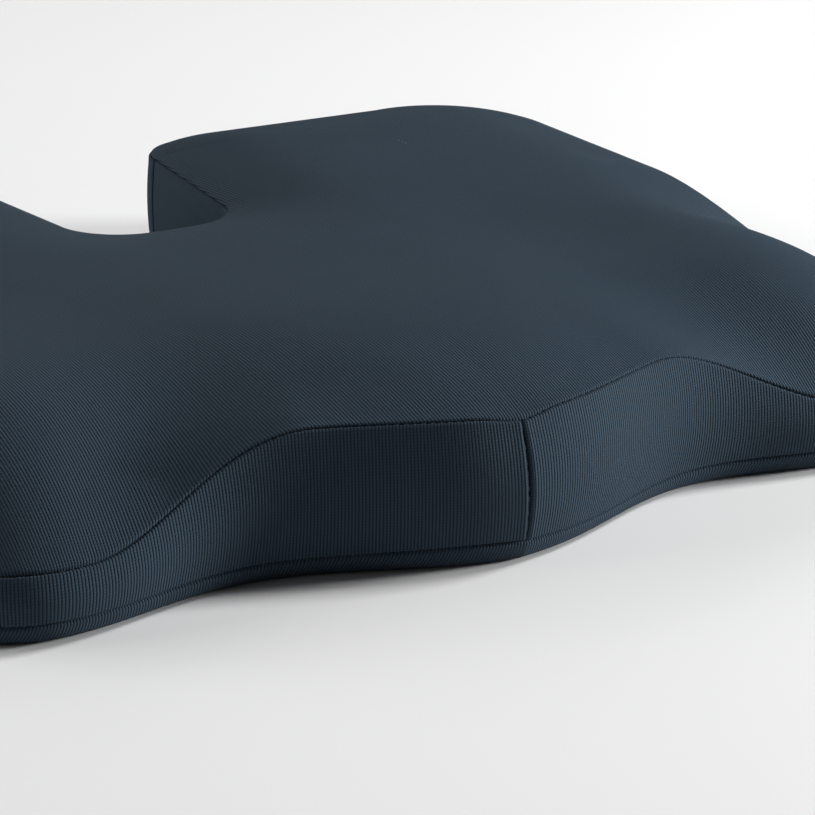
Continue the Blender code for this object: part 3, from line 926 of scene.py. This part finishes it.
def make_seam_threads(plan, material):
    top = seam_line(plan, (seam_height(plan.edge), 1.0), seam_pull(plan, -0.9), 0.9 * FOLD_DEPTH)
    foot = seam_line(plan, (foot_height(plan.edge), 0.0), seam_pull(plan, 0.25), 0.9 * FOLD_DEPTH)
    make_thread("thread_top_seam", [top], material)
    make_thread("thread_bottom_seam", [foot], material)
    uprights = []
    for index in plan.seams:
        share = np.linspace(0.04, 0.96, 40)[:, None] * np.ones(plan.count)
        wall = band_surface(plan, share)[:, index]
        inward = np.append(plan.inward[index], 0.0)
        uprights.append(wall + inward * 1.1 * FOLD_DEPTH)
    make_thread("thread_upright_seams", uprights, material)


# ---- zip

SLIDER_LOW, SLIDER_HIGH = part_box("zip_slider")
PULL_LOW, PULL_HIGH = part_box("zip_pull")
COIL_PITCH = 0.0013
COIL_WIRE = 0.00027
COIL_SIDES = 6
ZIP_OPENING = 0.00035
HEM_STITCH_UP = 0.0024
TAPE_RIPPLE, RIPPLES_PER_METRE = 0.00006, 420.0
# How far each tape runs on under the panel that it's sewn to
LOWER_TUCK, UPPER_TUCK = 0.0014, 0.003
GUARD_GAP, GUARD_THICKNESS = 0.0003, 0.0004


def tube(name, path, radius, sides, material, body):
    direction = np.gradient(path, axis=0)
    direction /= np.linalg.norm(direction, axis=1)[:, None]
    first = np.array([0.0, 1.0, 0.0]) - direction * direction[:, 1:2]
    first /= np.linalg.norm(first, axis=1)[:, None] + 1e-9
    second = np.cross(direction, first)
    turn = np.linspace(0.0, 2.0 * np.pi, sides, endpoint=False)
    rings = path[:, None] + radius * (
        np.cos(turn)[None, :, None] * first[:, None] + np.sin(turn)[None, :, None] * second[:, None]
    )
    faces = grid_faces(len(path), sides, True)
    mesh = make_mesh(name, rings, faces)
    mesh.materials.append(material)
    return show(bpy.data.objects.new(name, mesh), body)


def make_coil(side, phase, material):
    """One coil of the zip: a flattened helix of monofilament along the tape's edge."""
    low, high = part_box(f"zip_coil_{side}")
    x_reach = 0.5 * (high.x - low.x) - COIL_WIRE
    inner = ZIP_Z + (ZIP_OPENING if side == "upper" else -ZIP_OPENING)
    outer = high.z if side == "upper" else low.z
    z_reach = 0.5 * abs(outer - inner) - COIL_WIRE
    turns = (high.y - low.y - 2.0 * COIL_WIRE) / COIL_PITCH
    turn = np.linspace(0.0, turns, int(turns * 14)) * 2.0 * np.pi
    y = low.y + COIL_WIRE + turn / (2.0 * np.pi) * COIL_PITCH
    x = 0.5 * (low.x + high.x) + x_reach * np.sin(turn + phase)
    z = 0.5 * (inner + outer) + z_reach * np.cos(turn + phase)
    coil = tube(f"coil_{side}", np.stack([x, y, z], 1), COIL_WIRE, COIL_SIDES, material, "cushion")
    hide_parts(f"zip_coil_{side}")


def strip_mesh(name, low, high, material):
    """A thin upright woven strip with rounded edges, between two corners of its box."""
    middle, half = 0.5 * (low + high), 0.5 * (high - low)
    turn = np.linspace(0.0, 2.0 * np.pi, 20, endpoint=False)
    section_x = middle.x + half.x * np.sign(np.cos(turn)) * np.abs(np.cos(turn)) ** 0.5
    section_z = middle.z + half.z * np.sin(turn)
    y = np.linspace(low.y, high.y, 120)
    ripple = TAPE_RIPPLE * np.sin(y * RIPPLES_PER_METRE)
    points = np.stack(
        [section_x + ripple[:, None], y[:, None] + 0.0 * turn, section_z + 0.0 * y[:, None]], 2
    )
    faces = grid_faces(len(y), len(turn), True)[:, ::-1]
    mesh = make_mesh(name, points, faces)
    add_uv(mesh, points[..., 1:].reshape(-1, 2), faces)
    mesh.materials.append(material)
    return show(bpy.data.objects.new(name, mesh))


def make_tapes(material):
    """The two tapes, each running on under the panel it's sewn to, and a guard strip behind the slider."""
    for side in ("lower", "upper"):
        low, high = (corner.copy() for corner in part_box(f"zip_tape_{side}"))
        if side == "lower":
            low.z, high.z = low.z - LOWER_TUCK, ZIP_Z - ZIP_OPENING
        else:
            low.z, high.z = ZIP_Z + ZIP_OPENING, high.z + UPPER_TUCK
        tape = strip_mesh(f"tape_{side}", low, high, material)
        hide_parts(f"zip_tape_{side}")
    low, high = Vector(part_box("zip_tape_lower")[0]), Vector(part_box("zip_tape_upper")[1])
    low.x, high.x = SLIDER_LOW.x - GUARD_GAP - GUARD_THICKNESS, SLIDER_LOW.x - GUARD_GAP
    strip_mesh("zip_guard", low, high, material)


def rounded(corners, radius, steps=5):
    """A polygon with its corners cut to arcs."""
    corners = [Vector(corner) for corner in corners]
    points = []
    for index, corner in enumerate(corners):
        before = (corners[index - 1] - corner).normalized()
        after = (corners[(index + 1) % len(corners)] - corner).normalized()
        opening = before.angle(after)
        reach = min(radius / math.tan(0.5 * opening), 0.45 * (corners[index - 1] - corner).length)
        reach = min(reach, 0.45 * (corners[(index + 1) % len(corners)] - corner).length)
        start, end = corner + before * reach, corner + after * reach
        for step in range(steps + 1):
            share = step / steps
            points.append(start * (1 - share) ** 2 + corner * 2 * share * (1 - share) + end * share**2)
    return points


def plate(name, outlines, thickness, edge, matrix, material, body):
    """A flat part cut to outlines in its own plane, the first one the outside, with rounded edges."""
    data = bpy.data.curves.new(name, "CURVE")
    data.dimensions = "2D"
    data.fill_mode = "BOTH"
    data.extrude = 0.5 * thickness - edge
    data.bevel_depth = edge
    data.bevel_resolution = 3
    data.offset = -edge
    for outline in outlines:
        spline = data.splines.new("POLY")
        spline.points.add(len(outline) - 1)
        for point, corner in zip(spline.points, outline):
            point.co = (corner.x, corner.y, 0.0, 1.0)
        spline.use_cyclic_u = True
    holder = bpy.data.objects.new(f"{name}_outline", data)
    mesh = bpy.data.meshes.new_from_object(holder)
    bpy.data.objects.remove(holder)
    mesh.name = name
    mesh.transform(matrix)
    weld(mesh, 0.000005)
    mesh.materials.clear()
    mesh.materials.append(material)
    return show(bpy.data.objects.new(name, mesh), body)


def across_zip(x, y):
    """The plane of a plate that faces out from the zip: its own X is +Y, its Y is +Z and its Z is +X."""
    turn = Matrix(((0, 0, 1), (1, 0, 0), (0, 1, 0))).to_4x4()
    return Matrix.Translation((x, y, ZIP_Z)) @ turn


PLATE_THICKNESS = 0.0009
FLANGE = 0.0007
BRIDGE_HEIGHT = 0.0027
BRIDGE_WIDTH = 0.0016
BRIDGE_LENGTH, BRIDGE_BAR = 0.0072, 0.0008
# The bridge's feet run a little into the plate, and its inner corners are cut
BRIDGE_SUNK, BRIDGE_EASE = -0.0001, 0.0002
BACK_THICKNESS = 0.0008
FLANGE_HEIGHT = 0.0011
HALF_WEB = 0.0003


def corners_of(low_x, low_y, high_x, high_y):
    return [(low_x, low_y), (high_x, low_y), (high_x, high_y), (low_x, high_y)]


def slider_part(name, outline, radius, thickness, edge, matrix, material):
    return plate(name, [rounded(outline, radius)], thickness, edge, matrix, material, "slider")


def bridge_outline(foot, crown, bar):
    """The arch that the tab hangs on: over the top from one foot to the other, and back inside."""
    inner = foot - bar
    left = [(-foot, BRIDGE_SUNK), (-foot, crown - bar), (-foot + bar, crown)]
    right = [(-x, y) for x, y in left[::-1]]
    inside = [(inner, BRIDGE_SUNK), (inner, crown - bar - BRIDGE_EASE), (inner - BRIDGE_EASE, crown - bar)]
    return left + right + inside + [(-x, y) for x, y in inside[::-1]]


def make_slider(material):
    middle_y = 0.5 * (SLIDER_LOW.y + SLIDER_HIGH.y)
    long, tall = 0.5 * (SLIDER_HIGH.y - SLIDER_LOW.y), 0.5 * (SLIDER_HIGH.z - SLIDER_LOW.z)
    top_x = SLIDER_HIGH.x - BRIDGE_HEIGHT
    under_x = top_x - PLATE_THICKNESS
    back_x = SLIDER_LOW.x + 0.5 * BACK_THICKNESS
    shield = [(-long, -tall), (0.1 * long, -tall), (long, -0.72 * tall)]
    shield += [(long, 0.72 * tall), (0.1 * long, tall), (-long, tall), (-0.86 * long, 0.0)]
    face = across_zip(top_x - 0.5 * PLATE_THICKNESS, middle_y)
    front = slider_part("slider_plate", shield, 0.0013, PLATE_THICKNESS, 0.00024, face, material)
    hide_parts("zip_slider")
    back = across_zip(back_x, middle_y)
    slider_part("slider_back", shield, 0.0013, BACK_THICKNESS, 0.0002, back, material)
    web = corners_of(-0.75 * long, -HALF_WEB, 0.75 * long, HALF_WEB)
    core = across_zip(0.5 * (back_x + under_x), middle_y)
    slider_part("slider_web", web, 0.0002, under_x - back_x, 0.00005, core, material)
    for name, sign in (("slider_flange_lower", -1.0), ("slider_flange_upper", 1.0)):
        side = sign * (tall - 0.5 * FLANGE)
        wall = corners_of(-0.8 * long, side - 0.3 * FLANGE, 0.1 * long, side + 0.3 * FLANGE)
        place = across_zip(under_x - 0.5 * FLANGE_HEIGHT + 0.00005, middle_y)
        slider_part(name, wall, 0.0002, FLANGE_HEIGHT, 0.00008, place, material)
    turn = Matrix(((0, 1, 0), (1, 0, 0), (0, 0, -1))).to_4x4()
    stand = Matrix.Translation((top_x, middle_y, ZIP_Z)) @ turn
    arch = bridge_outline(0.5 * BRIDGE_LENGTH, BRIDGE_HEIGHT, BRIDGE_BAR)
    slider_part("slider_bridge", arch, 0.0005, BRIDGE_WIDTH, 0.00022, stand, material)


def make_pull(material):
    """The tab, with the window that the bridge stands in and a hole near its tip."""
    tall = 0.5 * (PULL_HIGH.z - PULL_LOW.z)
    thickness = PULL_HIGH.x - PULL_LOW.x
    pivot_y = PULL_HIGH.y - 0.5 * thickness
    length = pivot_y - PULL_LOW.y
    near = 0.5 * thickness
    outline = [(near, -0.85 * tall), (near, 0.85 * tall), (-0.0050, tall), (-0.0090, 0.72 * tall)]
    outline += [(-length + 0.006, tall), (-length, 0.62 * tall), (-length, -0.62 * tall)]
    outline += [(-length + 0.006, -tall), (-0.0090, -0.72 * tall), (-0.0050, -tall)]
    window = [(-near, -0.0016), (-near - 0.0046, -0.0016), (-near - 0.0046, 0.0016), (-near, 0.0016)]
    hole = [(-length + 0.0055, -0.0011), (-length + 0.0025, -0.0008), (-length + 0.0025, 0.0008)]
    hole += [(-length + 0.0055, 0.0011)]
    outlines = [rounded(outline, 0.0012), rounded(window, 0.0004), rounded(hole, 0.0007)]
    face = across_zip(0.5 * (PULL_LOW.x + PULL_HIGH.x), pivot_y)
    pull = plate("pull_tab", outlines, thickness, 0.00022, face, material, "pull")
    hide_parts("zip_pull")


def make_zip(thread):
    tape, coil, metal = tape_material(), nylon_material(), metal_material()
    make_tapes(tape)
    for side, phase in (("lower", 0.0), ("upper", math.pi)):
        make_coil(side, phase, coil)
    for name in ("zip_stop_front", "zip_stop_rear"):
        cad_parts[name].material_slots[0].material = coil
    make_slider(metal)
    make_pull(metal)
    y = np.linspace(ZIP_START_Y + 0.002, ZIP_END_Y - 0.002, 60)
    hem_z = FACING_Z + HEM_STITCH_UP
    share = (hem_z - BOTTOM_SEAM_Z) / (seam_height(np.stack([0.0 * y + HALF_WIDTH, y], 1)) - BOTTOM_SEAM_Z)
    hem_x = HALF_WIDTH + BAND_SWELL * 4.0 * share * (1.0 - share) + 0.00008
    hem = np.stack([hem_x, y, 0.0 * y + hem_z], 1)
    make_thread("thread_zip_hem", [hem], thread)


# ---- studio

CAMERA_PLACE = (-0.5702, -1.0740, 0.4244)
CAMERA_AZIMUTH = math.radians(-30.777)
CAMERA_ELEVATION = math.radians(19.372)
CAMERA_LENS = 144.8


def make_camera():
    data = bpy.data.cameras.new("camera")
    data.lens = CAMERA_LENS
    data.sensor_width = 36.0
    data.clip_start = 0.05
    data.clip_end = 50.0
    camera = bpy.data.objects.new("camera", data)
    camera.location = CAMERA_PLACE
    camera.rotation_euler = (math.radians(90.0) - CAMERA_ELEVATION, 0.0, CAMERA_AZIMUTH)
    bpy.context.scene.collection.objects.link(camera)
    bpy.context.scene.camera = camera


def add_light(name, towards, distance, size, power, target=(0.0, -0.05, 0.03)):
    """A soft light. From the target it is seen in the direction (azimuth, elevation), in degrees."""
    azimuth, elevation = (math.radians(value) for value in towards)
    flat = math.cos(elevation)
    direction = Vector((math.sin(azimuth) * flat, -math.cos(azimuth) * flat, math.sin(elevation)))
    data = bpy.data.lights.new(name, "AREA")
    data.shape = "RECTANGLE"
    data.size, data.size_y = size
    data.energy = power
    light = bpy.data.objects.new(name, data)
    light.location = Vector(target) + direction * distance
    light.rotation_euler = direction.to_track_quat("Z", "Y").to_euler()
    bpy.context.scene.collection.objects.link(light)


def make_studio():
    floor_mesh = bpy.data.meshes.new("studio_floor")
    reach = 6.0
    corners = [(-reach, -reach, 0.0), (reach, -reach, 0.0), (reach, reach, 0.0), (-reach, reach, 0.0)]
    floor_mesh.from_pydata(corners, [], [(0, 1, 2, 3)])
    floor_mesh.materials.append(floor_material())
    floor = bpy.data.objects.new("studio_floor", floor_mesh)
    floor.location.z = -0.0003
    bpy.context.scene.collection.objects.link(floor)
    world = bpy.data.worlds.new("studio")
    world.use_nodes = True
    background = world.node_tree.nodes["Background"]
    background.inputs[0].default_value = (1.0, 1.0, 1.0, 1.0)
    background.inputs[1].default_value = 0.06
    bpy.context.scene.world = world
    add_light("key_low", (70.0, 10.0), 2.2, (0.35, 0.35), 68.0)
    add_light("key_high", (75.0, 45.0), 2.2, (0.5, 0.5), 30.0)
    add_light("rim_left", (-120.0, 20.0), 2.5, (2.0, 1.6), 40.0)
    add_light("rim_rear", (180.0, 25.0), 2.5, (2.0, 1.8), 16.0)
    bpy.context.scene.view_settings.view_transform = "Standard"
    make_camera()


# ---- assembly


def make_cover():
    plan = Plan((FRONT_STEPS, CORNER_STEPS, SIDE_STEPS, FAN_STEPS), NEAR_SEAM)
    coarse = Plan(SIM_STEPS, np.zeros(1))
    band_field = top_field = None
    band_field, top_field = cloth_displacement(coarse)
    knit = knit_material("knit")
    make_top(plan, top_field, coarse, knit)
    make_bottom(plan, knit)
    make_bands(plan, band_field, coarse, knit)
    make_inner(coarse)
    thread = thread_material()
    make_seam_threads(plan, thread)
    make_zip(thread)


make_cover()
make_studio()
